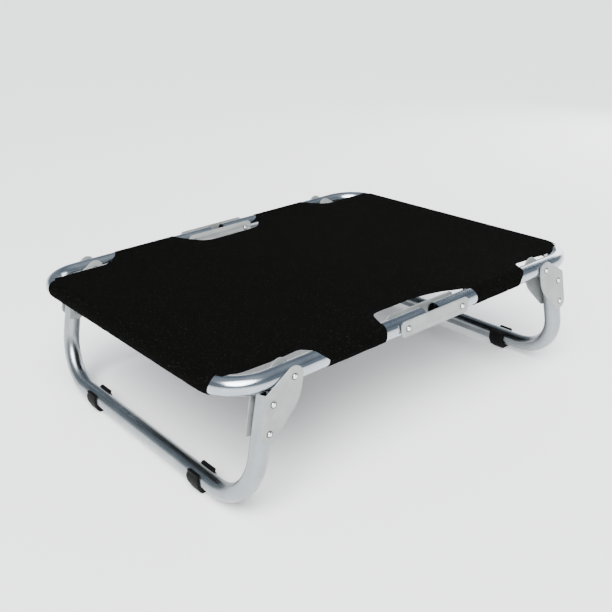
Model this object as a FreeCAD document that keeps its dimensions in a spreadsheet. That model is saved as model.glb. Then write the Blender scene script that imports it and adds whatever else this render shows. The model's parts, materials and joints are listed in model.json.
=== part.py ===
import FreeCAD, Part
import os
import Sketcher

# Folding raised dog bed: two U-shaped tube halves hinged at the middle of the long sides, two
# folding U-shaped legs with clip-on feet, and a fabric cover on sewn sleeves.
# Frame: origin on the floor under the centre, +X along the long side, +Z up. Millimetres.

DIMENSIONS = {
    # tubes
    "tube_radius": 12.5,
    "tube_wall": 1.2,
    # frame halves
    "rail_height": 190.0,
    "rail_y": 253.5,
    "end_x": 326.0,
    "frame_bend": 55.0,
    "rail_gap": 26.0,
    # folding hinges at the middle of the long sides
    "hinge_spacing": 105.0,
    "hinge_overhang": 12.0,
    "hinge_half_height": 11.3,
    "hinge_corner": 6.5,
    "stop_half_length": 38.0,
    "stop_thickness": 1.5,
    "stop_clearance": 0.3,
    "stop_reach": 3.0,
    # sheet metal and rivets
    "plate_clearance": 0.8,
    "plate_thickness": 2.0,
    "rivet_radius": 2.5,
    "rivet_hole_radius": 2.55,
    "rivet_head_radius": 4.5,
    "rivet_head_height": 1.9,
    # legs, measured from their pivot along and across the leg
    "pivot_x": 242.5,
    "leg_splay": 12.7,
    "leg_offset": 27.0,
    "leg_length": 179.8,
    "leg_bend": 75.0,
    "leg_top": 22.0,
    "upper_rivet": 31.7,
    "lower_rivet": 68.9,
    # leg bracket outline
    "bracket_round": 13.3,
    "bracket_nose": 32.3,
    "bracket_corner": 20.5,
    "bracket_belly": 30.0,
    "bracket_belly_round": 55.0,
    "bracket_end": 82.0,
    "bracket_end_inset": 20.0,
    "bracket_end_round": 11.5,
    "bracket_heel_round": 3.0,
    "bracket_corner_round": 1.5,
    # clip-on feet
    "foot_y": 144.0,
    "foot_length": 28.0,
    "foot_sole": 6.5,
    "foot_shoulder": 10.5,
    "foot_chamfer": 4.0,
    "foot_half_width": 15.0,
    "foot_widest_below": 6.0,
    "foot_widest_above": 3.0,
    "foot_bore": 12.6,
    "foot_flare_sole": 4.0,
    "foot_flare_top": 3.0,
    "foot_waste": 24.0,
    "jaw_root_height": 6.5,
    "jaw_neck_inset": 1.6,
    "jaw_neck_height": 7.0,
    "jaw_lip_inset": 0.4,
    "jaw_lip_height": 10.4,
    "jaw_tip_inset": 2.0,
    "jaw_tip_height": 11.2,
    # fabric cover
    "cloth": 1.2,
    "cloth_lift": 8.9,
    "cloth_seam_gap": 9.9,
    "sleeve_inner": 12.55,
    "sleeve_outer": 13.05,
    "sleeve_start": 87.0,
    "sleeve_end": 198.0,
    "end_sleeve_turn": 24.0,
    "fold_gap": 1.5,
    "notch_y": 217.0,
    "notch_side_x": 66.0,
    "notch_side_y": 223.0,
    "corner_cut_x": 206.0,
    "corner_cut_y": 236.0,
    "corner_cut_end": 292.0,
    "end_cut_y": 207.0,
}

doc = FreeCAD.newDocument("DogBed")
dims = doc.addObject("Spreadsheet::Sheet", "dims")
for row, (alias, value) in enumerate(DIMENSIONS.items(), start=1):
    dims.set(f"A{row}", alias)
    dims.set(f"B{row}", str(value))
    dims.setAlias(f"B{row}", alias)
doc.recompute()

PLATE_Y = "(dims.tube_radius + dims.plate_clearance + dims.plate_thickness / 2)"
SIDES = {"left": -1, "right": 1}
ENDS = {"front": -1, "back": 1}
nodes = []


def size(expression):
    """The value of an expression of the sheet, for a first guess at a sketch's shape."""
    value = dims.evalExpression(expression)
    return float(getattr(value, "Value", value))


def new_body(label):
    body = doc.addObject("PartDesign::Body", label)
    body.Label = label
    nodes.append(body)
    return body


def place(body, x="0", y="0", z="0", tilt=None):
    """Bind a body's position, and its turn about Y, to the sheet."""
    for axis, expression in zip("xyz", (x, y, z)):
        body.setExpression(f"Placement.Base.{axis}", f"({expression}) * 1mm")
    if tilt is not None:
        body.Placement = FreeCAD.Placement(FreeCAD.Vector(), FreeCAD.Rotation(FreeCAD.Vector(0, 1, 0), 1))
        body.setExpression("Placement.Rotation.Angle", f"({tilt}) * 1deg")


def new_sketch(body, name, plane, offset=None):
    """A sketch on one of the body's own planes, moved along the plane's normal."""
    sketch = body.newObject("Sketcher::SketchObject", f"{body.Label}_{name}")
    role = next(feature for feature in body.Origin.OriginFeatures if feature.Role == plane)
    sketch.AttachmentSupport = [(role, "")]
    sketch.MapMode = "FlatFace"
    if offset is not None:
        sketch.setExpression("AttachmentOffset.Base.z", f"({offset}) * 1mm")
    return sketch


def fix_point(sketch, geometry, point, x, y):
    """Hold a sketch point at a position that the sheet gives."""
    for kind, expression in (("DistanceX", x), ("DistanceY", y)):
        index = sketch.addConstraint(Sketcher.Constraint(kind, -1, 1, geometry, point, size(expression)))
        sketch.setExpression(f"Constraints[{index}]", f"({expression}) * 1mm")


def add_circle(sketch, x, y, radius):
    centre = FreeCAD.Vector(size(x), size(y), 0)
    circle = sketch.addGeometry(Part.Circle(centre, FreeCAD.Vector(0, 0, 1), size(radius)))
    fix_point(sketch, circle, 3, x, y)
    index = sketch.addConstraint(Sketcher.Constraint("Radius", circle, size(radius)))
    sketch.setExpression(f"Constraints[{index}]", f"({radius}) * 1mm")


def add_polygon(sketch, corners):
    """A closed outline of straight lines through corners given as pairs of expressions."""
    points = [FreeCAD.Vector(size(x), size(y), 0) for x, y in corners]
    count = len(points)
    lines = [sketch.addGeometry(Part.LineSegment(points[i], points[(i + 1) % count])) for i in range(count)]
    for i, (x, y) in enumerate(corners):
        sketch.addConstraint(Sketcher.Constraint("Coincident", lines[i - 1], 2, lines[i], 1))
        fix_point(sketch, lines[i], 1, x, y)


def add_bent_path(sketch, corners, bend):
    """Straight runs through the corners of a U, joined by tangent quarter turns of one radius."""
    points = [FreeCAD.Vector(size(x), size(y), 0) for x, y in corners]
    radius = size(bend)
    ends = [points[0]]
    turns = []
    for before, corner, after in zip(points, points[1:], points[2:]):
        into = (corner - before).normalize() * radius
        away = (after - corner).normalize() * radius
        centre = corner - into + away
        middle = centre + (corner - centre).normalize() * radius
        ends += [corner - into, corner + away]
        turns.append((corner - into, middle, corner + away))
    ends.append(points[-1])
    runs = [sketch.addGeometry(Part.LineSegment(*ends[i:i + 2])) for i in range(0, len(ends), 2)]
    for i, turn in enumerate(turns):
        arc = sketch.addGeometry(Part.Arc(*turn))
        first, last = 1, 2
        if sketch.getPoint(arc, 1).distanceToPoint(turn[0]) > 0.01:
            first, last = 2, 1
        sketch.addConstraint(Sketcher.Constraint("Tangent", runs[i], 2, arc, first))
        sketch.addConstraint(Sketcher.Constraint("Tangent", arc, last, runs[i + 1], 1))
        index = sketch.addConstraint(Sketcher.Constraint("Radius", arc, radius))
        sketch.setExpression(f"Constraints[{index}]", f"({bend}) * 1mm")
    fix_point(sketch, runs[0], 1, *corners[0])
    fix_point(sketch, runs[-1], 2, *corners[-1])
    along_y = abs(points[2].y - points[1].y) > abs(points[2].x - points[1].x)
    for i, run in enumerate(runs):
        upright = along_y == (i == 1)
        sketch.addConstraint(Sketcher.Constraint("Vertical" if upright else "Horizontal", run))
    kind, part = ("DistanceX", 0) if along_y else ("DistanceY", 1)
    index = sketch.addConstraint(Sketcher.Constraint(kind, -1, 1, runs[1], 1, size(corners[1][part])))
    sketch.setExpression(f"Constraints[{index}]", f"({corners[1][part]}) * 1mm")


def new_feature(body, kind, name):
    return body.newObject(f"PartDesign::{kind}", f"{body.Label}_{name}")


def pad(body, name, sketch, length):
    """A plate of the given thickness, half on each side of its sketch."""
    feature = new_feature(body, "Pad", name)
    feature.Profile = (sketch, [""])
    feature.SideType = "Symmetric"
    feature.setExpression("Length", f"({length}) * 1mm")
    doc.recompute()


def cut(body, name, sketch, length):
    """A pocket, half on each side of its sketch, that has to take something away."""
    before = body.Shape.Volume
    feature = new_feature(body, "Pocket", name)
    feature.Profile = (sketch, [""])
    feature.SideType = "Symmetric"
    feature.setExpression("Length", f"({length}) * 1mm")
    doc.recompute()
    if body.Shape.Volume >= before:
        raise RuntimeError(f"{body.Label} {name} cut nothing")


def drill(body, name, plane, holes, radius):
    """Round holes through everything, at places given as pairs of expressions."""
    sketch = new_sketch(body, f"{name}_outline", plane)
    for x, y in holes:
        add_circle(sketch, x, y, radius)
    cut(body, name, sketch, "2 * dims.end_x")


def sweep(body, name, spine, profile):
    feature = new_feature(body, "AdditivePipe", name)
    feature.Spine = (spine, [""])
    feature.Profile = (profile, [""])
    doc.recompute()
    return feature


def mirror(body, name, feature, plane):
    copy = new_feature(body, "Mirrored", name)
    role = next(item for item in body.Origin.OriginFeatures if item.Role == plane)
    copy.Originals = [feature]
    copy.MirrorPlane = (role, [""])
    body.Tip = copy
    doc.recompute()


def round_corners(body, name, axes, corners, radius):
    """Fillet the edges that cross the given corners of the outline, square to the two axes."""
    wanted = [(size(x), size(y)) for x, y in corners]
    base = body.Tip
    found = []
    for number, edge in enumerate(base.Shape.Edges, start=1):
        ends = [vertex.Point for vertex in edge.Vertexes]
        if len(ends) != 2:
            continue
        flat = [tuple(getattr(point, axis) for axis in axes) for point in ends]
        if max(abs(a - b) for a, b in zip(*flat)) > 0.001:
            continue
        if any(abs(flat[0][0] - x) < 0.01 and abs(flat[0][1] - y) < 0.01 for x, y in wanted):
            found.append(f"Edge{number}")
    feature = new_feature(body, "Fillet", name)
    feature.Base = (base, found)
    feature.setExpression("Radius", f"({radius}) * 1mm")
    doc.recompute()


def frame_tube(side_name):
    """One half of the frame: a U-shaped tube, open at its two ends in the middle of the bed."""
    side = SIDES[side_name]
    body = new_body(f"frame_tube_{side_name}")
    start = f"{side} * dims.rail_gap / 2"
    spine = new_sketch(body, "spine", "XY_Plane", "dims.rail_height")
    add_bent_path(spine, [
        (start, "-dims.rail_y"),
        (f"{side} * dims.end_x", "-dims.rail_y"),
        (f"{side} * dims.end_x", "dims.rail_y"),
        (start, "dims.rail_y"),
    ], "dims.frame_bend")
    ring = new_sketch(body, "ring", "YZ_Plane", start)
    add_circle(ring, "-dims.rail_y", "dims.rail_height", "dims.tube_radius")
    add_circle(ring, "-dims.rail_y", "dims.rail_height", "dims.tube_radius - dims.tube_wall")
    sweep(body, "pipe", spine, ring)
    holes = [(f"{side} * {x}", "dims.rail_height") for x in ("dims.hinge_spacing / 2", "dims.pivot_x")]
    drill(body, "rivet_holes", "XZ_Plane", holes, "dims.rivet_hole_radius")


def leg_tube(side_name):
    """A U-shaped leg, drawn upright under its pivot and then splayed."""
    side = SIDES[side_name]
    body = new_body(f"leg_tube_{side_name}")
    spine = new_sketch(body, "spine", "YZ_Plane", f"{side} * dims.leg_offset")
    add_bent_path(spine, [
        ("-dims.rail_y", "-dims.leg_top"),
        ("-dims.rail_y", "-dims.leg_length"),
        ("dims.rail_y", "-dims.leg_length"),
        ("dims.rail_y", "-dims.leg_top"),
    ], "dims.leg_bend")
    ring = new_sketch(body, "ring", "XY_Plane", "-dims.leg_top")
    add_circle(ring, f"{side} * dims.leg_offset", "-dims.rail_y", "dims.tube_radius")
    add_circle(ring, f"{side} * dims.leg_offset", "-dims.rail_y", "dims.tube_radius - dims.tube_wall")
    sweep(body, "pipe", spine, ring)
    holes = [(f"{side} * dims.leg_offset", f"-{drop}") for drop in ("dims.upper_rivet", "dims.lower_rivet")]
    drill(body, "rivet_holes", "XZ_Plane", holes, "dims.rivet_hole_radius")
    place(body, f"{side} * dims.pivot_x", "0", "dims.rail_height", f"{-side} * dims.leg_splay")


def leg_bracket(name, side_name, y, heel_round):
    """A flat bracket plate that turns on the rail and is riveted to the leg."""
    side = SIDES[side_name]
    outboard = f"{side} * (dims.leg_offset + dims.tube_radius)"
    inboard = f"{-side} * dims.bracket_round"
    nose = (inboard, "dims.bracket_nose")
    corner = (outboard, "-dims.bracket_corner")
    heel = (outboard, "-dims.bracket_end")
    toe = (f"{side} * dims.bracket_end_inset", "-dims.bracket_end")
    belly = (inboard, "-dims.bracket_belly")
    body = new_body(name)
    outline = new_sketch(body, "outline", "XZ_Plane")
    add_polygon(outline, [nose, corner, heel, toe, belly])
    pad(body, "plate", outline, "dims.plate_thickness")
    holes = [("0", "0")]
    holes += [(f"{side} * dims.leg_offset", f"-{drop}") for drop in ("dims.upper_rivet", "dims.lower_rivet")]
    drill(body, "rivet_holes", "XZ_Plane", holes, "dims.rivet_hole_radius")
    round_corners(body, "pivot_round", "xz", [nose], "dims.bracket_round")
    round_corners(body, "toe_round", "xz", [toe], "dims.bracket_end_round")
    round_corners(body, "heel_round", "xz", [heel], heel_round)
    round_corners(body, "belly_round", "xz", [belly], "dims.bracket_belly_round")
    round_corners(body, "corner_round", "xz", [corner], "dims.bracket_corner_round")
    place(body, f"{side} * dims.pivot_x", y, "dims.rail_height", f"{-side} * dims.leg_splay")


def hinge_plate(name, end_name, inner):
    """A link plate of the folding hinge. The inner one carries the stop under the tube ends."""
    end = ENDS[end_name]
    body = new_body(name)
    half_length = "dims.hinge_spacing / 2 + dims.hinge_overhang"
    half_height = "dims.hinge_half_height"
    corners = [(f"{a} * ({half_length})", f"{b} * {half_height}")
               for a, b in ((-1, -1), (1, -1), (1, 1), (-1, 1))]
    outline = new_sketch(body, "outline", "XZ_Plane")
    add_polygon(outline, corners)
    pad(body, "plate", outline, "dims.plate_thickness")
    holes = [(f"{a} * dims.hinge_spacing / 2", "0") for a in (-1, 1)]
    drill(body, "rivet_holes", "XZ_Plane", holes, "dims.rivet_hole_radius")
    round_corners(body, "ends_round", "xz", corners, "dims.hinge_corner")
    if inner:
        stop_top = "-dims.tube_radius - dims.stop_clearance"
        stop_foot = f"{stop_top} - dims.stop_thickness"
        tab_root = f"-{half_height} + dims.stop_thickness"
        tab = new_sketch(body, "tab_outline", "YZ_Plane")
        back = f"{-end} * dims.plate_thickness / 2"
        face = f"{end} * dims.plate_thickness / 2"
        lip = f"{end} * ({PLATE_Y} + dims.stop_reach)"
        add_polygon(tab, [
            (back, tab_root),
            (back, stop_foot),
            (lip, stop_foot),
            (lip, stop_top),
            (face, stop_top),
            (face, tab_root),
        ])
        pad(body, "stop_tab", tab, "2 * dims.stop_half_length")
    away = -1 if inner else 1
    place(body, "0", f"{end} * (dims.rail_y + {away} * {PLATE_Y})", "dims.rail_height")


def rivet(label, x, y, z):
    """A solid rivet along Y with a domed head at each end, across a tube and its two plates."""
    body = doc.addObject("PartDesign::Body", label)
    body.Label = label
    grip = f"({PLATE_Y} + dims.plate_thickness / 2)"
    profile = new_sketch(body, "profile", "XY_Plane")
    head = "dims.rivet_head_radius"
    tip = f"{grip} + dims.rivet_head_height"
    corners = [
        ("0", f"-({tip})"), (head, f"-{grip}"), ("dims.rivet_radius", f"-{grip}"),
        ("dims.rivet_radius", grip), (head, grip), ("0", tip),
    ]
    points = [FreeCAD.Vector(size(a), size(b), 0) for a, b in corners]
    dome = (size(head) ** 2 + size("dims.rivet_head_height") ** 2) / 2 / size("dims.rivet_head_height")
    edges = []
    for i, (start, finish) in enumerate(zip(points, points[1:] + points[:1])):
        if i in (0, 4):
            sign = -1 if i == 0 else 1
            centre = FreeCAD.Vector(0, sign * (size(tip) - dome), 0)
            middle = centre + ((start + finish) / 2 - centre).normalize() * dome
            edges.append(profile.addGeometry(Part.Arc(start, middle, finish)))
            profile.addConstraint(Sketcher.Constraint("PointOnObject", edges[-1], 3, -2))
        else:
            edges.append(profile.addGeometry(Part.LineSegment(start, finish)))
    for i, line in ((1, edges[1]), (2, edges[2]), (3, edges[3]), (5, edges[5])):
        fix_point(profile, line, 1, *corners[i])
    fix_point(profile, edges[5], 2, *corners[0])
    fix_point(profile, edges[3], 2, *corners[4])
    profile.addConstraint(Sketcher.Constraint("Coincident", edges[0], 1, edges[5], 2))
    profile.addConstraint(Sketcher.Constraint("Coincident", edges[0], 2, edges[1], 1))
    profile.addConstraint(Sketcher.Constraint("Coincident", edges[1], 2, edges[2], 1))
    profile.addConstraint(Sketcher.Constraint("Coincident", edges[2], 2, edges[3], 1))
    profile.addConstraint(Sketcher.Constraint("Coincident", edges[3], 2, edges[4], 1))
    profile.addConstraint(Sketcher.Constraint("Coincident", edges[4], 2, edges[5], 1))
    turn = new_feature(body, "Revolution", "turn")
    turn.Profile = (profile, [""])
    turn.ReferenceAxis = (profile, ["V_Axis"])
    turn.Angle = 360
    place(body, x, y, z)
    doc.recompute()
    return body


def rivet_row(label, places, y):
    """Identical rivets of one joint, kept together as separate solids of one node."""
    rivets = [rivet(f"{label}_{i}", x, y, z) for i, (x, z) in enumerate(places, start=1)]
    row = doc.addObject("Part::Compound", label)
    row.Label = label
    row.Links = rivets
    nodes.append(row)


def leg_point(side, along):
    """Where a point on the leg's centre line is, as expressions for X and Z."""
    out = f"{along} * sin(dims.leg_splay * 1deg) + dims.leg_offset * cos(dims.leg_splay * 1deg)"
    down = f"{along} * cos(dims.leg_splay * 1deg) - dims.leg_offset * sin(dims.leg_splay * 1deg)"
    return f"{side} * (dims.pivot_x + {out})", f"dims.rail_height - ({down})"


def foot_clip(name, side_name, end_name):
    """A plastic foot that snaps onto the crossbar from below. Its flat sole is on the floor."""
    side = SIDES[side_name]
    x, z = leg_point(side, "dims.leg_length")
    sole = f"-({z})"
    body = new_body(name)
    profile = new_sketch(body, "profile", "XZ_Plane")
    half = [
        ("dims.foot_sole", sole),
        ("dims.foot_shoulder", f"{sole} + dims.foot_chamfer"),
        ("dims.foot_half_width", "-dims.foot_widest_below"),
        ("dims.foot_half_width", "dims.foot_widest_above"),
        ("dims.foot_half_width - dims.jaw_neck_inset", "dims.jaw_neck_height"),
        ("dims.foot_half_width - dims.jaw_lip_inset", "dims.jaw_lip_height"),
        ("dims.foot_half_width - dims.jaw_tip_inset", "dims.jaw_tip_height"),
        ("0", "dims.jaw_root_height"),
    ]
    add_polygon(profile, half + [(f"-({out})", up) for out, up in reversed(half[:-1])])
    pad(body, "block", profile, "dims.foot_length")
    drill(body, "tube_seat", "XZ_Plane", [("0", "0")], "dims.foot_bore")
    jaw_inside = f"{side} * (dims.foot_half_width - dims.foot_waste / 2)"
    flare = new_sketch(body, "flare_outline", "YZ_Plane", jaw_inside)
    for end in (-1, 1):
        add_polygon(flare, [
            (f"{end} * dims.foot_length", sole),
            (f"{end} * (dims.foot_length / 2 - dims.foot_flare_sole)", sole),
            (f"{end} * dims.foot_length / 2", "0"),
            (f"{end} * (dims.foot_length / 2 - dims.foot_flare_top)", "dims.jaw_tip_height"),
            (f"{end} * dims.foot_length", "dims.jaw_tip_height"),
        ])
    cut(body, "flare", flare, "dims.foot_waste")
    place(body, x, f"{ENDS[end_name]} * dims.foot_y", z)


def side_sleeve(side_name, end_name):
    """The fabric tunnel round one side rail of one half."""
    side = SIDES[side_name]
    body = new_body(f"side_sleeve_{end_name}_{side_name}")
    middle = f"{side} * (dims.sleeve_start + dims.sleeve_end) / 2"
    ring = new_sketch(body, "ring", "YZ_Plane", middle)
    for radius in ("dims.sleeve_outer", "dims.sleeve_inner"):
        add_circle(ring, f"{ENDS[end_name]} * dims.rail_y", "dims.rail_height", radius)
    pad(body, "tunnel", ring, "dims.sleeve_end - dims.sleeve_start")


def end_sleeve(side_name):
    """The fabric tunnel round the end of one frame half, reaching a little into both bends."""
    side = SIDES[side_name]
    body = new_body(f"end_sleeve_{side_name}")
    straight = "dims.rail_y - dims.frame_bend"
    spine = new_sketch(body, "spine", "XY_Plane", "dims.rail_height")
    x, y, bend, turn = (size(item) for item in (
        f"{side} * dims.end_x", straight, "dims.frame_bend", "dims.end_sleeve_turn"))
    line = spine.addGeometry(Part.LineSegment(FreeCAD.Vector(x, 0, 0), FreeCAD.Vector(x, y, 0)))
    centre = FreeCAD.Vector(x - side * bend, y, 0)
    reach = [centre + FreeCAD.Rotation(side * angle, 0, 0).multVec(FreeCAD.Vector(side * bend, 0, 0))
             for angle in (0, turn / 2, turn)]
    arc = spine.addGeometry(Part.Arc(*reach))
    first, last = (1, 2) if side > 0 else (2, 1)
    fix_point(spine, line, 1, f"{side} * dims.end_x", "0")
    fix_point(spine, line, 2, f"{side} * dims.end_x", straight)
    spine.addConstraint(Sketcher.Constraint("Tangent", line, 2, arc, first))
    index = spine.addConstraint(Sketcher.Constraint("Radius", arc, bend))
    spine.setExpression(f"Constraints[{index}]", "dims.frame_bend * 1mm")
    index = spine.addConstraint(Sketcher.Constraint("DistanceY", -1, 1, arc, last, reach[2].y))
    arc_end = f"({straight} + dims.frame_bend * sin(dims.end_sleeve_turn * 1deg)) * 1mm"
    spine.setExpression(f"Constraints[{index}]", arc_end)
    ring = new_sketch(body, "ring", "XZ_Plane")
    for radius in ("dims.sleeve_outer", "dims.sleeve_inner"):
        add_circle(ring, f"{side} * dims.end_x", "dims.rail_height", radius)
    tunnel = sweep(body, "tunnel", spine, ring)
    mirror(body, "other_half", tunnel, "XZ_Plane")


def fabric_panel(label, corners):
    """A flat piece of the cover. Its corners are given for the back half, the front half mirrors it."""
    body = new_body(label)
    outline = new_sketch(body, "outline", "XY_Plane", "dims.rail_height + dims.cloth_lift + dims.cloth / 2")
    add_polygon(outline, corners + [(x, f"-({y})") for x, y in reversed(corners)])
    pad(body, "sheet", outline, "dims.cloth")


def cover(side_name):
    side = SIDES[side_name]
    fabric_panel(f"fabric_panel_{side_name}", [(f"{side} * ({x})", y) for x, y in (
        ("dims.hinge_spacing / 2 + dims.fold_gap", "dims.notch_y"),
        ("dims.notch_side_x", "dims.notch_side_y"),
        ("dims.sleeve_start", "dims.rail_y - dims.cloth_seam_gap"),
        ("dims.sleeve_end", "dims.rail_y - dims.cloth_seam_gap"),
        ("dims.corner_cut_x", "dims.corner_cut_y"),
        ("dims.corner_cut_end", "dims.corner_cut_y"),
        ("dims.end_x - dims.cloth_seam_gap", "dims.end_cut_y"),
    )])


for side_name, side in SIDES.items():
    frame_tube(side_name)
    cover(side_name)
    end_sleeve(side_name)
    leg_tube(side_name)
    for end_name, end in ENDS.items():
        side_sleeve(side_name, end_name)
        for place_name, away, heel_round in (
                ("outer", 1, "dims.bracket_end_round"), ("inner", -1, "dims.bracket_heel_round")):
            leg_bracket(f"bracket_{place_name}_{end_name}_{side_name}", side_name,
                        f"{end} * (dims.rail_y + {away} * {PLATE_Y})", heel_round)
        rail = f"{end} * dims.rail_y"
        rivet_row(f"pivot_rivet_{end_name}_{side_name}",
                  [(f"{side} * dims.pivot_x", "dims.rail_height")], rail)
        rivet_row(f"leg_rivets_{end_name}_{side_name}",
                  [leg_point(side, along) for along in ("dims.upper_rivet", "dims.lower_rivet")], rail)
        foot_clip(f"foot_clip_{end_name}_{side_name}", side_name, end_name)

for end_name, end in ENDS.items():
    hinge_plate(f"hinge_plate_outer_{end_name}", end_name, inner=False)
    hinge_plate(f"hinge_plate_inner_{end_name}", end_name, inner=True)
    rivet_row(f"hinge_rivets_{end_name}",
              [(f"{side} * dims.hinge_spacing / 2", "dims.rail_height") for side in SIDES.values()],
              f"{end} * dims.rail_y")
fold_edge = "dims.hinge_spacing / 2 - dims.fold_gap"
fabric_panel("fabric_panel_middle", [(f"-({fold_edge})", "dims.notch_y"), (fold_edge, "dims.notch_y")])

doc.recompute()
for item in doc.Objects:
    if "Invalid" in item.State or "Error" in item.State:
        raise RuntimeError(f"{item.Name} failed: {item.State}")
os.makedirs("parts", exist_ok=True)
for node in nodes:
    if node.Shape.isNull() or not node.Shape.isValid() or not node.Shape.Solids:
        raise RuntimeError(f"{node.Label} has no valid solid")
    node.Shape.exportStep(f"parts/{node.Label}.step")
    print(node.Label, len(node.Shape.Solids), round(node.Shape.Volume, 1))
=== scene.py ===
import bpy
import bmesh
import json
import math
from mathutils import Matrix, Vector, noise


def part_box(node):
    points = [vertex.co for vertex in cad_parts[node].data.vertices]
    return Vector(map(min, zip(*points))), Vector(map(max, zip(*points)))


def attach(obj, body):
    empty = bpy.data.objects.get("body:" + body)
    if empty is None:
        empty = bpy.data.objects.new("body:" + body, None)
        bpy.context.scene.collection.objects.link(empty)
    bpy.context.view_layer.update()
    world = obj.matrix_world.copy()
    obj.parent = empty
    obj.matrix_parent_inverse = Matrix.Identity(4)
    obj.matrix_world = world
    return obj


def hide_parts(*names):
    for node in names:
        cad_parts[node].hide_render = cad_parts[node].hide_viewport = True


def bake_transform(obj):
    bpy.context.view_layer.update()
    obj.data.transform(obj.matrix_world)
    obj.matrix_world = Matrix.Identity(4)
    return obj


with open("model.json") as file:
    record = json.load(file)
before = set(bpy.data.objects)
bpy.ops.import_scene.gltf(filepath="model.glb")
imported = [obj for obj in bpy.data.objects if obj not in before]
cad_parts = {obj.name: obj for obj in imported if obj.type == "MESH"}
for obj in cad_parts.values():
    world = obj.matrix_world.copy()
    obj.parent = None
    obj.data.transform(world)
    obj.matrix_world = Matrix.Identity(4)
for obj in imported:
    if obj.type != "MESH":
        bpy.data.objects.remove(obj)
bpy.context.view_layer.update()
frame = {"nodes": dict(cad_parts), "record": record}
joints = {joint["name"]: joint for joint in frame["record"]["behaviour"]["joints"]}
sides = {"left": -1, "right": 1}
ends = {"front": -1, "back": 1}
up = Vector((0, 0, 1))

# places that come from the frame
tubeLow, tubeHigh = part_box("frame_tube_right")
tubeRadius = (tubeHigh[2] - tubeLow[2]) / 2
railZ = (tubeHigh[2] + tubeLow[2]) / 2
railY = tubeHigh[1] - tubeRadius
endX = tubeHigh[0] - tubeRadius
gapX = tubeLow[0]
pivotX = joints["right_leg_fold"]["pos_m"][0]
foldX = joints["right_fold"]["pos_m"][0]
print("frame read: rails at", round(railY, 4), round(railZ, 4), "end at", round(endX, 4))


def setSocket(node, name, value):
    node.inputs[name].default_value = value


def newMaterial(name):
    material = bpy.data.materials.new(name)
    material.use_nodes = True
    tree = material.node_tree
    return material, tree.nodes, tree.links, tree.nodes["Principled BSDF"]


def ramp(nodes, low, high, lowColour, highColour):
    node = nodes.new("ShaderNodeValToRGB")
    node.color_ramp.elements[0].position = low
    node.color_ramp.elements[1].position = high
    node.color_ramp.elements[0].color = (*lowColour, 1)
    node.color_ramp.elements[1].color = (*highColour, 1)
    return node


def newGroup(name, inputs, outputs):
    group = bpy.data.node_groups.new(name, "ShaderNodeTree")
    for label, kind, value in inputs:
        socket = group.interface.new_socket(name=label, in_out="INPUT", socket_type=kind)
        if value is not None:
            socket.default_value = value
    for label, kind in outputs:
        group.interface.new_socket(name=label, in_out="OUTPUT", socket_type=kind)
    entry = group.nodes.new("NodeGroupInput")
    result = group.nodes.new("NodeGroupOutput")
    return group, group.nodes, group.links, entry, result


def useGroup(nodes, group, **values):
    node = nodes.new("ShaderNodeGroup")
    node.node_tree = group
    for label, value in values.items():
        node.inputs[label].default_value = value
    return node


# cloudy spots and fine grain, for anything rolled, plated or moulded
def surfaceGrainGroup():
    group, nodes, links, entry, result = newGroup(
        "surfaceGrain",
        [("Place", "NodeSocketVector", None), ("Cloud Scale", "NodeSocketFloat", 60.0),
         ("Grain Scale", "NodeSocketFloat", 900.0)],
        [("Cloud", "NodeSocketFloat"), ("Grain", "NodeSocketFloat")])
    for label, source, detail in (("Cloud", "Cloud Scale", 3.0), ("Grain", "Grain Scale", 2.0)):
        texture = nodes.new("ShaderNodeTexNoise")
        setSocket(texture, "Detail", detail)
        links.new(entry.outputs["Place"], texture.inputs["Vector"])
        links.new(entry.outputs[source], texture.inputs["Scale"])
        links.new(texture.outputs["Fac"], result.inputs[label])
    return group


surfaceGrain = surfaceGrainGroup()


# roughness that follows a texture between the look's smooth and rough values
def addShine(nodes, links, shader, source, look, low=0.0, high=1.0):
    shine = nodes.new("ShaderNodeMapRange")
    setSocket(shine, "From Min", low)
    setSocket(shine, "From Max", high)
    setSocket(shine, "To Min", look["smooth"])
    setSocket(shine, "To Max", look["rough"])
    links.new(source, shine.inputs["Value"])
    links.new(shine.outputs["Result"], shader.inputs["Roughness"])


def addBump(nodes, links, shader, source, look):
    bump = nodes.new("ShaderNodeBump")
    setSocket(bump, "Strength", look["bump"])
    setSocket(bump, "Distance", look["bumpHeight"])
    links.new(source, bump.inputs["Height"])
    links.new(bump.outputs["Normal"], shader.inputs["Normal"])


# drawn tubing: streaks run along the tube, and its colour is a little cloudy
def tubingMaterial(name, look):
    material, nodes, links, shader = newMaterial(name)
    place = nodes.new("ShaderNodeAttribute")
    place.attribute_name = "tubePlace"
    stretch = nodes.new("ShaderNodeMapping")
    setSocket(stretch, "Scale", (1, 1, look["streakStretch"]))
    links.new(place.outputs["Vector"], stretch.inputs["Vector"])
    streaks = nodes.new("ShaderNodeTexNoise")
    setSocket(streaks, "Scale", look["streakScale"])
    setSocket(streaks, "Detail", 4.0)
    links.new(stretch.outputs["Vector"], streaks.inputs["Vector"])
    grain = useGroup(nodes, surfaceGrain, **{"Cloud Scale": look["cloudScale"]})
    links.new(place.outputs["Vector"], grain.inputs["Place"])
    colour = ramp(nodes, 0.3, 0.75, look["darkColour"], look["lightColour"])
    links.new(grain.outputs["Cloud"], colour.inputs["Fac"])
    links.new(colour.outputs["Color"], shader.inputs["Base Color"])
    addShine(nodes, links, shader, streaks.outputs["Fac"], look, 0.3, 0.7)
    addBump(nodes, links, shader, streaks.outputs["Fac"], look)
    setSocket(shader, "Metallic", 1.0)
    return material


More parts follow.
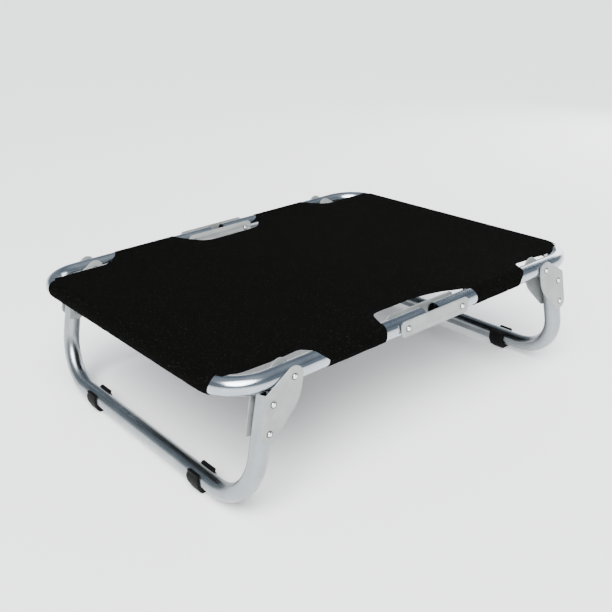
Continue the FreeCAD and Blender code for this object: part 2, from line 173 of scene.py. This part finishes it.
frameTubing = tubingMaterial("frameTubing", {
    "streakStretch": 0.012, "streakScale": 260.0, "cloudScale": 25.0, "bump": 0.25, "bumpHeight": 0.0002,
    "darkColour": (0.34, 0.375, 0.41), "lightColour": (0.52, 0.56, 0.59), "smooth": 0.13, "rough": 0.24})
legTubing = tubingMaterial("legTubing", {
    "streakStretch": 0.02, "streakScale": 300.0, "cloudScale": 30.0, "bump": 0.3, "bumpHeight": 0.0002,
    "darkColour": (0.24, 0.265, 0.28), "lightColour": (0.33, 0.355, 0.365), "smooth": 0.22, "rough": 0.34})


# plated sheet metal and moulded plastic: a faint cloudy surface with a fine grain
def plateMaterial(name, look):
    material, nodes, links, shader = newMaterial(name)
    place = nodes.new("ShaderNodeTexCoord")
    scales = {"Cloud Scale": look["cloudScale"], "Grain Scale": look["grainScale"]}
    grain = useGroup(nodes, surfaceGrain, **scales)
    links.new(place.outputs["Object"], grain.inputs["Place"])
    colour = ramp(nodes, 0.35, 0.7, look["darkColour"], look["lightColour"])
    links.new(grain.outputs["Cloud"], colour.inputs["Fac"])
    links.new(colour.outputs["Color"], shader.inputs["Base Color"])
    addShine(nodes, links, shader, grain.outputs["Cloud"], look)
    addBump(nodes, links, shader, grain.outputs["Grain"], look)
    setSocket(shader, "Metallic", look["metal"])
    setSocket(shader, "Specular IOR Level", look["specular"])
    return material


platedSteel = plateMaterial("platedSteel", {
    "cloudScale": 45.0, "grainScale": 1600.0, "metal": 0.45, "specular": 0.5,
    "bump": 0.15, "bumpHeight": 0.0002, "smooth": 0.36, "rough": 0.46,
    "darkColour": (0.24, 0.255, 0.25), "lightColour": (0.30, 0.315, 0.305)})
rivetSteel = plateMaterial("rivetSteel", {
    "cloudScale": 300.0, "grainScale": 2500.0, "metal": 1.0, "specular": 0.5,
    "bump": 0.1, "bumpHeight": 0.0002, "smooth": 0.14, "rough": 0.26,
    "darkColour": (0.78, 0.79, 0.80), "lightColour": (0.93, 0.94, 0.94)})
# near-black rivet flange ring: painted shade standing in for the dark ring seen round each bright domed
# head
rivetFlangePaintedShade = plateMaterial("rivetFlangePaintedShade", {
    "cloudScale": 300.0, "grainScale": 2500.0, "metal": 0.8, "specular": 0.5,
    "bump": 0.2, "bumpHeight": 0.0002, "smooth": 0.4, "rough": 0.6,
    "darkColour": (0.035, 0.037, 0.04), "lightColour": (0.11, 0.115, 0.12)})
footPlastic = plateMaterial("footPlastic", {
    "cloudScale": 120.0, "grainScale": 1100.0, "metal": 0.0, "specular": 0.12,
    "bump": 0.5, "bumpHeight": 0.0002, "smooth": 0.6, "rough": 0.8,
    "darkColour": (0.0008, 0.0008, 0.0008), "lightColour": (0.002, 0.002, 0.002)})


# plain weave of two crossing yarns of uneven thickness, with a few specks of lint
def weaveMaterial(name, look):
    material, nodes, links, shader = newMaterial(name)
    place = nodes.new("ShaderNodeUVMap")
    place.uv_map = "cloth"
    yarns = []
    for direction in ("X", "Y"):
        wave = nodes.new("ShaderNodeTexWave")
        wave.bands_direction = direction
        setSocket(wave, "Scale", look["yarnScale"])
        setSocket(wave, "Distortion", 0.6)
        setSocket(wave, "Detail Scale", 0.3)
        links.new(place.outputs["UV"], wave.inputs["Vector"])
        yarns.append(wave)
    weave = nodes.new("ShaderNodeMath")
    weave.operation = "MULTIPLY"
    links.new(yarns[0].outputs["Fac"], weave.inputs[0])
    links.new(yarns[1].outputs["Fac"], weave.inputs[1])
    slubs = []
    for scale in ((1, 0.06, 1), (0.06, 1, 1)):
        stretch = nodes.new("ShaderNodeMapping")
        setSocket(stretch, "Scale", scale)
        links.new(place.outputs["UV"], stretch.inputs["Vector"])
        slub = nodes.new("ShaderNodeTexNoise")
        setSocket(slub, "Scale", look["slubScale"])
        setSocket(slub, "Detail", 3.0)
        links.new(stretch.outputs["Vector"], slub.inputs["Vector"])
        slubs.append(slub)
    uneven = nodes.new("ShaderNodeMath")
    uneven.operation = "ADD"
    links.new(slubs[0].outputs["Fac"], uneven.inputs[0])
    links.new(slubs[1].outputs["Fac"], uneven.inputs[1])
    height = nodes.new("ShaderNodeMath")
    height.operation = "ADD"
    links.new(weave.outputs["Value"], height.inputs[0])
    links.new(uneven.outputs["Value"], height.inputs[1])
    colour = ramp(nodes, 0.35, 1.9, look["darkColour"], look["lightColour"])
    links.new(height.outputs["Value"], colour.inputs["Fac"])
    specks = nodes.new("ShaderNodeTexNoise")
    setSocket(specks, "Scale", look["lintScale"])
    setSocket(specks, "Detail", 1.0)
    links.new(place.outputs["UV"], specks.inputs["Vector"])
    lint = ramp(nodes, 0.66, 0.76, (0, 0, 0), look["lintColour"])
    links.new(specks.outputs["Fac"], lint.inputs["Fac"])
    dusty = nodes.new("ShaderNodeVectorMath")
    dusty.operation = "ADD"
    links.new(colour.outputs["Color"], dusty.inputs[0])
    links.new(lint.outputs["Color"], dusty.inputs[1])
    links.new(dusty.outputs["Vector"], shader.inputs["Base Color"])
    addBump(nodes, links, shader, height.outputs["Value"], look)
    setSocket(shader, "Roughness", 1.0)
    setSocket(shader, "Specular IOR Level", look["specular"])
    return material


coverFabric = weaveMaterial("coverFabric", {
    "yarnScale": 260.0, "slubScale": 700.0, "bump": 0.35, "bumpHeight": 0.0003, "specular": 0.015,
    "lintScale": 420.0, "lintColour": (0.022, 0.020, 0.016),
    "darkColour": (0.0002, 0.0002, 0.0002), "lightColour": (0.0018, 0.0018, 0.0016)})
print("materials ready")


def makePiece(name, bm, body, material, replaced, sharp=40):
    mesh = bpy.data.meshes.new(name)
    bm.to_mesh(mesh)
    bm.free()
    mesh.materials.append(material)
    mesh.shade_smooth()
    mesh.set_sharp_from_angle(angle=math.radians(sharp))
    piece = bpy.data.objects.new(name, mesh)
    bpy.context.scene.collection.objects.link(piece)
    if body:
        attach(piece, body)
    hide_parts(*replaced)
    return piece


# one more ring of an open edge loop; gives each new vertex with the one that it grew from
def growRing(bm, edges):
    grown = bmesh.ops.extrude_edge_only(bm, edges=edges)["geom"]
    fresh = {item for item in grown if isinstance(item, bmesh.types.BMVert)}
    pairs = []
    for vert in fresh:
        old = next(edge.other_vert(vert) for edge in vert.link_edges if edge.other_vert(vert) not in fresh)
        pairs.append((vert, old))
    loop = [item for item in grown if isinstance(item, bmesh.types.BMEdge) and set(item.verts) <= fresh]
    return pairs, loop


tubeShape = {"wall": 0.0012, "segments": 48, "bendSteps": 18, "frameBend": 0.055, "legBend": 0.075}


# a U-shaped tube: run, quarter turn, run, quarter turn, run
def tubePiece(name, body, material, node, start, heading, inward, runs, bend, place=None):
    bm = bmesh.new()
    shape = bm.verts.layers.float_vector.new("tubePlace")
    segments = tubeShape["segments"]
    ring = bmesh.ops.create_circle(bm, cap_ends=False, radius=tubeRadius, segments=segments)["verts"]
    for vert in ring:
        vert[shape] = (vert.co.x, vert.co.y, 0)
    turn = heading.to_track_quat("Z", "Y").to_matrix().to_4x4()
    bmesh.ops.transform(bm, matrix=Matrix.Translation(start) @ turn, verts=ring)
    loop = bm.edges[:]
    spot = Vector(start)
    along = 0
    centres = {vert: spot.copy() for vert in ring}
    for index, run in enumerate(runs):
        steps = [(Matrix.Translation(heading * run / 3), run / 3)] * 3
        corner = spot + heading * run
        centre = corner + inward * bend
        if index < 2:
            step = math.pi / 2 / tubeShape["bendSteps"]
            swing = (Matrix.Translation(centre) @ Matrix.Rotation(step, 4, heading.cross(inward))
                     @ Matrix.Translation(-centre))
            steps += [(swing, bend * step)] * tubeShape["bendSteps"]
        for matrix, length in steps:
            pairs, loop = growRing(bm, loop)
            along += length
            for vert, old in pairs:
                vert.co = matrix @ old.co
                vert[shape] = (old[shape].x, old[shape].y, along)
                centres[vert] = matrix @ centres[old]
        if index < 2:
            spot = centre + heading * bend
            heading, inward = inward, -heading
    bmesh.ops.recalc_face_normals(bm, faces=bm.faces[:])
    # the wall: an inner skin, joined to the outer one at both open ends
    outerFaces = bm.faces[:]
    mapping = bmesh.ops.duplicate(bm, geom=bm.verts[:] + bm.edges[:] + outerFaces)["vert_map"]
    for vert, middle in centres.items():
        mapping[vert].co = middle + (vert.co - middle) * (1 - tubeShape["wall"] / tubeRadius)
    bmesh.ops.reverse_faces(bm, faces=[face for face in bm.faces if face not in set(outerFaces)])
    openEdges = [edge for edge in bm.edges if edge.is_boundary]
    for near in (True, False):
        rim = [edge for edge in openEdges if (edge.verts[0][shape].z < along / 2) == near]
        bmesh.ops.bridge_loops(bm, edges=rim)
    bmesh.ops.recalc_face_normals(bm, faces=bm.faces[:])
    if place is not None:
        bmesh.ops.transform(bm, matrix=place, verts=bm.verts[:])
    return makePiece(name, bm, body, material, [node])


legShape = {"splay": 12.7, "offset": 0.027, "length": 0.1798, "top": 0.022}


def splayed(side):
    pivot = Vector((side * pivotX, 0, railZ))
    turn = Matrix.Rotation(math.radians(-side * legShape["splay"]), 4, "Y")
    return Matrix.Translation(pivot) @ turn @ Matrix.Translation(-pivot)


for sideName, side in sides.items():
    outward = Vector((side, 0, 0))
    bend = tubeShape["frameBend"]
    run = endX - bend - gapX
    tubePiece(
        f"frameTube_{sideName}", f"{sideName}_half", frameTubing, f"frame_tube_{sideName}",
        Vector((side * gapX, -railY, railZ)), outward, Vector((0, 1, 0)),
        (run, 2 * (railY - bend), run), bend)
    bend = tubeShape["legBend"]
    drop = legShape["length"] - legShape["top"] - bend
    legTop = Vector((side * (pivotX + legShape["offset"]), -railY, railZ - legShape["top"]))
    tubePiece(
        f"legTube_{sideName}", f"{sideName}_leg", legTubing, f"leg_tube_{sideName}",
        legTop, -up, Vector((0, 1, 0)), (drop, 2 * (railY - bend), drop), bend, splayed(side))
print("tubes made")


# sheet metal and moulded parts: the frame's own shapes with softened edges
softEdges = {"plate": 0.00035, "foot": 0.0007, "flat": 1.0, "corner": 40.0, "plateSteps": 2, "footSteps": 3}


def softenedPart(name, node, body, material, edge, segments):
    bm = bmesh.new()
    bm.from_mesh(frame["nodes"][node].data)
    bmesh.ops.remove_doubles(bm, verts=bm.verts[:], dist=1e-6)
    flatAngle = math.radians(softEdges["flat"])
    bmesh.ops.dissolve_limit(bm, angle_limit=flatAngle, verts=bm.verts[:], edges=bm.edges[:])
    rim = [item for item in bm.edges if item.calc_face_angle(0) > math.radians(softEdges["corner"])]
    bmesh.ops.bevel(bm, geom=rim, offset=edge, offset_type="OFFSET", segments=segments, profile=0.5,
                    affect="EDGES", material=-1, clamp_overlap=True)
    return makePiece(name, bm, body, material, [node])


for endName in ends:
    for layer in ("outer", "inner"):
        softenedPart(f"hingePlate_{layer}_{endName}", f"hinge_plate_{layer}_{endName}", "hinge_links",
                     platedSteel, softEdges["plate"], softEdges["plateSteps"])
        for sideName in sides:
            bracket = f"bracket_{layer}_{endName}_{sideName}"
            softenedPart(bracket, bracket, f"{sideName}_leg", platedSteel,
                         softEdges["plate"], softEdges["plateSteps"])
    for sideName in sides:
        softenedPart(f"footClip_{endName}_{sideName}", f"foot_clip_{endName}_{sideName}", f"{sideName}_leg",
                     footPlastic, softEdges["foot"], softEdges["footSteps"])
print("plates and feet made")

rivetShape = {"flange": 0.0045, "flangeHigh": 0.0004, "flangeRound": 0.0004, "dome": 0.0032, "high": 0.0021,
              "grip": 0.0153, "shank": 0.0025, "steps": 7, "segments": 28}


# a rivet along Y: shank, flange and domed head at both ends, turned from one profile
def addRivet(bm, spot):
    shank, grip, flange, dome = (rivetShape[key] for key in ("shank", "grip", "flange", "dome"))
    flangeHigh, high, steps = (rivetShape[key] for key in ("flangeHigh", "high", "steps"))
    half = [Vector((shank, 0, 0)), Vector((shank, grip, 0)), Vector((flange, grip, 0)),
            Vector((flange, grip + flangeHigh * 0.6, 0)),
            Vector((flange - rivetShape["flangeRound"], grip + flangeHigh, 0))]
    for step in range(steps):
        angle = math.pi / 2 * step / steps
        rise = (high - flangeHigh) * math.sin(angle)
        half.append(Vector((dome * math.cos(angle), grip + flangeHigh + rise, 0)))
    half.append(Vector((0, grip + high, 0)))
    profile = [Vector((point.x, -point.y, 0)) for point in reversed(half[1:])] + half[1:]
    verts = [bm.verts.new(point) for point in profile]
    edges = [bm.edges.new(pair) for pair in zip(verts, verts[1:])]
    before = set(bm.verts) - set(verts)
    bmesh.ops.spin(bm, geom=verts + edges, cent=(0, 0, 0), axis=(0, 1, 0), dvec=(0, 0, 0),
                   angle=2 * math.pi, steps=rivetShape["segments"], use_merge=True, use_duplicate=False)
    mine = [vert for vert in bm.verts if vert not in before]
    bmesh.ops.remove_doubles(bm, verts=mine, dist=1e-6)
    mine = [vert for vert in bm.verts if vert not in before]
    bmesh.ops.translate(bm, vec=spot, verts=mine)


def rivetPiece(name, body, node, spots):
    bm = bmesh.new()
    for spot in spots:
        addRivet(bm, spot)
    bmesh.ops.recalc_face_normals(bm, faces=bm.faces[:])
    for face in bm.faces:
        fromAxis = min((face.calc_center_median() - spot).xz.length for spot in spots)
        # faces beyond the dome's rim take the near-black flange material, a painted shade ring
        face.material_index = 1 if fromAxis > rivetShape["dome"] else 0
    piece = makePiece(name, bm, body, rivetSteel, [node])
    piece.data.materials.append(rivetFlangePaintedShade)


legRivets = (0.0317, 0.0689)
for endName, end in ends.items():
    rail = end * railY
    rivetPiece(f"hingeRivets_{endName}", "hinge_links", f"hinge_rivets_{endName}",
               [Vector((side * foldX, rail, railZ)) for side in sides.values()])
    for sideName, side in sides.items():
        corner = f"{endName}_{sideName}"
        rivetPiece(f"pivotRivet_{corner}", f"{sideName}_leg", f"pivot_rivet_{corner}",
                   [Vector((side * pivotX, rail, railZ))])
        uprightX = side * (pivotX + legShape["offset"])
        upright = [Vector((uprightX, rail, railZ - drop)) for drop in legRivets]
        rivetPiece(f"legRivets_{corner}", f"{sideName}_leg", f"leg_rivets_{corner}",
                   [splayed(side) @ spot for spot in upright])
print("rivets made")


coverShape = {
    "thickness": 0.0006, "wrap": 0.01315, "low": 0.0100, "sag": 0.0016, "rows": 108, "wrapStep": 13.0,
    "wrapEnd": -202.0, "seamIn": 0.021, "turnFront": 24.0, "turnBack": 4.0, "sleeveStart": 0.087,
    "sleeveEnd": 0.198, "slant": 0.013, "endSlant": 0.030, "ripple": 0.0003, "ease": 0.004,
    "loose": 0.0006, "looseFolds": 0.0005}
# The cut edges of the cover, as distance from the middle and half width. The cover sits about a
# centimetre nearer the front, and its notch over the folding hinge a little to the left.
hingeCut = {
    "back": [(0, 0.1990), (0.044, 0.1995), (0.058, 0.2045), (0.074, 0.2275), (0.083, 0.2430),
             (0.087, 0.2535)],
    "left": [(0, 0.2175), (0.050, 0.2180), (0.066, 0.2198), (0.074, 0.2245), (0.083, 0.2430),
             (0.087, 0.2535)],
    "right": [(0, 0.2175), (0.014, 0.2190), (0.034, 0.2232), (0.050, 0.2285), (0.058, 0.2330),
              (0.064, 0.2385), (0.087, 0.2535)]}
cornerCut = {
    "left": [(0.198, 0.2535), (0.202, 0.2475), (0.205, 0.2395), (0.211, 0.2355), (0.290, 0.2355),
             (0.299, 0.2350), (0.308, 0.2300)],
    "right": [(0.198, 0.2535), (0.202, 0.2475), (0.205, 0.2395), (0.209, 0.2376), (0.256, 0.2376),
              (0.262, 0.2405), (0.292, 0.2420), (0.300, 0.2385), (0.308, 0.2315)],
    "back": [(0.198, 0.2535), (0.202, 0.2475), (0.205, 0.2390), (0.214, 0.2310), (0.224, 0.2215),
             (0.234, 0.2168), (0.290, 0.2160), (0.306, 0.2120)]}
# columns of the mesh between these stations
stations = [(0, 0), (20, 0.060), (34, coverShape["sleeveStart"]), (64, coverShape["sleeveEnd"]),
            (76, 0.215), (92, 0.300)]


def smooth(low, high, value):
    t = min(1, max(0, (value - low) / (high - low)))
    return t * t * (3 - 2 * t)


def along(points, value):
    for (a, b), (c, d) in zip(points, points[1:]):
        if value <= c:
            return b + (d - b) * (value - a) / (c - a)
    return points[-1][1]


# half width of the cover at a distance from the middle, with its corners eased
def cutAt(sideName, endName, x):
    if coverShape["sleeveStart"] <= x <= coverShape["sleeveEnd"]:
        return railY
    edgeName = "back" if endName == "back" else sideName
    cutEdge = hingeCut[edgeName] + cornerCut[edgeName]
    ease = coverShape["ease"]
    return sum(along(cutEdge, abs(x + ease * step / 4)) for step in range(-4, 5)) / 9


# where a rail's hold on the cover starts and ends, and how far it and the end tube's reach in
coverHold = {"starts": (0.035, 0.084), "ends": (0.200, 0.245), "railReach": 0.045, "barReach": 0.055,
             "sagStart": 0.06}


# height of the cover's upper face: it runs down a little from the rails that hold it, and sags
def coverHeight(x, y):
    rail = smooth(*coverHold["starts"], x) * (1 - smooth(*coverHold["ends"], x))
    rail *= math.exp(-(railY - abs(y)) / coverHold["railReach"])
    bar = math.exp(-max(0, endX - x) / coverHold["barReach"])
    lift = 1 - (1 - rail) * (1 - bar)
    sagShare = (x - coverHold["sagStart"]) / (endX - coverHold["sagStart"])
    middle = math.sin(math.pi * min(1, max(0, sagShare))) * math.cos(math.pi * y / 2 / railY)
    high = coverShape["low"] - coverShape["sag"] * middle
    return railZ + high + (coverShape["wrap"] - high) * lift


# tension ripples that start at the sleeves, and slow unevenness in the open cloth
def coverRipple(side, x, y):
    fromRail = railY - abs(y)
    fromBar = endX - x
    held = smooth(0, 0.006, fromRail) * smooth(0, 0.006, fromBar)
    nearRail = smooth(0.05, 0.09, x) * (1 - smooth(0.2, 0.24, x)) * math.exp(-fromRail / 0.028)
    nearBar = math.exp(-fromBar / 0.03)
    seed = 3.7 * side
    ripple = noise.noise(Vector((x / 0.0085, y / 0.09 + seed, 1.3))) * nearRail
    ripple += noise.noise(Vector((x / 0.09, y / 0.010 + seed, 5.1))) * nearBar
    slow = noise.noise(Vector((x / 0.07, y / 0.09, seed))) * smooth(0.06, 0.12, x)
    return held * coverShape["ripple"] * (1.5 * ripple + 1.2 * slow)


def mix(first, last, share):
    return first + (last - first) * share


# where the cover meets the end tube, from its front cut at -1 to its back cut at 1: straight along
# the tube, and then some way round its bends
def barAt(share):
    bend = tubeShape["frameBend"]
    straight = railY - bend
    turn = mix(coverShape["turnFront"], coverShape["turnBack"], (share + 1) / 2)
    distance = share * (straight + bend * math.radians(turn))
    if abs(distance) <= straight:
        return Vector((endX, distance)), Vector((1, 0))
    swing = math.copysign((abs(distance) - straight) / bend, distance)
    out = Vector((math.cos(swing), math.sin(swing)))
    return Vector((endX - bend, math.copysign(straight, distance))) + out * bend, out


# the sleeves hang a little loose below the tube, and wrinkle
def looseness(number, line, angle):
    below = max(0, -math.sin(angle)) ** 2
    place = line.y if number == 0 else line.x
    folds = noise.noise(Vector((place / 0.016, 2.2 * number, angle * 0.8)))
    return below * (coverShape["loose"] + coverShape["looseFolds"] * folds)


# the side sleeve's edges run in towards its middle on their way down the tube's side
def slant(x, angle):
    nearEnd = smooth(coverShape["sleeveEnd"] - 0.04, coverShape["sleeveEnd"], x)
    nearStart = 1 - smooth(coverShape["sleeveStart"], coverShape["sleeveStart"] + 0.02, x)
    away = min(1, 1 - math.sin(angle))
    return coverShape["slant"] * away * (nearStart * 0.15 - nearEnd)


# and so do those of the end sleeve, as a share of its length
def endSlant(share, angle):
    return coverShape["endSlant"] * smooth(0.8, 1, abs(share)) * min(1, 0.5 - 0.5 * math.sin(angle))


def coverHalf(sideName, side):
    columns = stations[-1][0] + 6
    rows = coverShape["rows"]
    corners = [barAt(end)[0] for end in ends.values()]
    bm = bmesh.new()
    bmesh.ops.create_grid(bm, x_segments=columns, y_segments=rows, size=0.5)
    flat = {}
    tubeLine = {}
    grid = {}
    for vert in bm.verts:
        column = round((vert.co.x + 0.5) * columns)
        row = round((vert.co.y + 0.5) * rows)
        share = row / rows * 2 - 1
        toBack = row / rows
        cornerX = mix(corners[0].x, corners[1].x, toBack)
        cornerY = mix(-corners[0].y, corners[1].y, toBack)
        x = along(stations + [(columns, cornerX)], column)
        toBar = x / cornerX
        bar, out = barAt(share)
        cut = cornerY
        if column < columns:
            cut = mix(cutAt(sideName, "front", x), cutAt(sideName, "back", x), toBack)
        place = Vector((x + toBar * (bar.x - cornerX), share * cut + toBar * (bar.y - share * cornerY)))
        height = coverHeight(*place) + coverRipple(side, *place)
        if column == columns:
            tubeLine[vert] = (bar, out, share)
        elif row in (0, rows) and coverShape["sleeveStart"] <= x <= coverShape["sleeveEnd"]:
            tubeLine[vert] = (place, Vector((0, math.copysign(1, share))), share)
        if vert in tubeLine:
            height = railZ + coverShape["wrap"]
        vert.co = (side * place.x, place.y, height)
        flat[vert] = Vector((side * place.x, place.y))
        grid[vert] = (column, row)
    # the sleeves: the cloth's edge grows round the tube and back up to its own underside
    loops = [[edge for edge in bm.edges if all(grid[vert][0] == columns for vert in edge.verts)]]
    for row in (0, rows):
        loops.append([edge for edge in bm.edges
                      if all(grid[vert][1] == row and vert in tubeLine and grid[vert][0] < columns
                             for vert in edge.verts)])
    turns = math.ceil((90 - coverShape["wrapEnd"]) / coverShape["wrapStep"])
    for number, loop in enumerate(loops):
        for step in range(1, turns + 3):
            pairs, loop = growRing(bm, loop)
            for vert, old in pairs:
                line, out, endShare = tubeLine[vert] = tubeLine[old]
                angle = math.radians(90 + (coverShape["wrapEnd"] - 90) * min(step, turns) / turns)
                if number == 0:
                    line, out = barAt(endShare * (1 - endSlant(endShare, angle)))
                around, rise = math.cos(angle), math.sin(angle)
                reach = coverShape["wrap"] + looseness(number, line, angle)
                offset, height = reach * around, reach * rise
                if step > turns:
                    share = (step - turns) / 2
                    offset += (-coverShape["seamIn"] - offset) * share
                    height += (coverShape["low"] - 2.5 * coverShape["thickness"] - height) * share
                spot = line + out * offset
                slide = 0 if number == 0 else slant(line.x, angle)
                vert.co = (side * (spot.x + slide), spot.y, railZ + height)
                flat[vert] = flat[old] + Vector((side * out.x, out.y)) * (vert.co - old.co).length
    bm.normal_update()
    top = max(bm.faces, key=lambda face: face.calc_area() if abs(face.normal.z) > 0.9 else 0)
    if top.normal.z < 0:
        bmesh.ops.reverse_faces(bm, faces=bm.faces[:])
    cloth = bm.loops.layers.uv.new("cloth")
    for face in bm.faces:
        for corner in face.loops:
            corner[cloth].uv = flat[corner.vert]
    piece = makePiece(f"cover_{sideName}", bm, None, coverFabric,
                      [f"fabric_panel_{sideName}", f"end_sleeve_{sideName}",
                       f"side_sleeve_front_{sideName}", f"side_sleeve_back_{sideName}"], sharp=180)
    thick = piece.modifiers.new("thickness", "SOLIDIFY")
    thick.thickness = coverShape["thickness"]
    thick.offset = -1
    settled = bpy.data.meshes.new_from_object(piece.evaluated_get(bpy.context.evaluated_depsgraph_get()))
    piece.modifiers.clear()
    piece.data = settled
    settled.set_sharp_from_angle(angle=math.radians(55))
    return piece


covers = {}
for sideName, side in sides.items():
    covers[sideName] = coverHalf(sideName, side)
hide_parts("fabric_panel_middle")
for sideName, side in sides.items():
    cover = covers[sideName]
    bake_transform(cover)
print("cover made")


floor = bpy.data.meshes.new("floor")
plane = bmesh.new()
bmesh.ops.create_grid(plane, x_segments=1, y_segments=1, size=60)
plane.to_mesh(floor)
plane.free()
floorObject = bpy.data.objects.new("floor", floor)
bpy.context.scene.collection.objects.link(floorObject)
# the floor glows faintly, which softens the shadow on it
floorLook = {"Base Color": (0.93, 0.93, 0.93, 1), "Emission Color": (1.0, 1.0, 1.0, 1),
             "Emission Strength": 0.22, "Roughness": 0.7}
floorMaterial = newMaterial("paleFloor")[0]
for socket, value in floorLook.items():
    setSocket(floorMaterial.node_tree.nodes["Principled BSDF"], socket, value)
floor.materials.append(floorMaterial)

# a pale room that darkens overhead, so that the tubing has something to mirror
roomShades = (
    (0.10, (1.0, 1.0, 1.0)), (0.20, (0.13, 0.15, 0.175)), (0.45, (0.19, 0.225, 0.26)),
    (0.62, (0.10, 0.12, 0.15)))
world = bpy.data.worlds.new("room")
bpy.context.scene.world = world
world.use_nodes = True
nodes, links = world.node_tree.nodes, world.node_tree.links
direction = nodes.new("ShaderNodeTexCoord")
split = nodes.new("ShaderNodeSeparateXYZ")
links.new(direction.outputs["Generated"], split.inputs["Vector"])
sky = ramp(nodes, 0.0, 1.0, (1.0, 1.0, 1.0), (0.30, 0.33, 0.37))
for height, shade in roomShades:
    sky.color_ramp.elements.new(height).color = (*shade, 1)
links.new(split.outputs["Z"], sky.inputs["Fac"])
links.new(sky.outputs["Color"], nodes["Background"].inputs["Color"])
setSocket(nodes["Background"], "Strength", 1.9)

softboxes = {"key": ((-1.6, -1.4, 2.0), 1.4, 60), "side": ((2.2, 0.4, 0.9), 1.2, 22)}
for name, (spot, width, power) in softboxes.items():
    light = bpy.data.lights.new(name, "AREA")
    light.size = width
    light.energy = power
    lamp = bpy.data.objects.new(name, light)
    lamp.location = spot
    lamp.rotation_euler = (Vector((0, 0, 0.15)) - Vector(spot)).to_track_quat("-Z", "Y").to_euler()
    bpy.context.scene.collection.objects.link(lamp)

overhead = bpy.data.lights.new("overhead", "SUN")
overhead.energy = 7.5
overhead.angle = math.radians(50)
overheadLamp = bpy.data.objects.new("overhead", overhead)
overheadLamp.rotation_euler = Vector((0.35, 0.45, -0.82)).to_track_quat("-Z", "Y").to_euler()
bpy.context.scene.collection.objects.link(overheadLamp)

cameraView = {"place": (-0.7729, -0.9559, 0.6493), "heading": 38.74, "down": 23.13, "roll": -2.40,
              "lens": 49.35}
heading, down, roll = (math.radians(cameraView[key]) for key in ("heading", "down", "roll"))
ahead = Vector((math.cos(down) * math.sin(heading), math.cos(down) * math.cos(heading), -math.sin(down)))
levelRight = Vector((math.cos(heading), -math.sin(heading), 0))
levelUp = levelRight.cross(ahead)
right = levelRight * math.cos(roll) + levelUp * math.sin(roll)
upright = levelUp * math.cos(roll) - levelRight * math.sin(roll)
lens = bpy.data.cameras.new("camera")
lens.lens = cameraView["lens"]
lens.sensor_width = 36
camera = bpy.data.objects.new("camera", lens)
aim = Matrix((right, upright, -ahead)).transposed().to_4x4()
camera.matrix_world = Matrix.Translation(cameraView["place"]) @ aim
bpy.context.scene.collection.objects.link(camera)
bpy.context.scene.camera = camera
print("stage set")
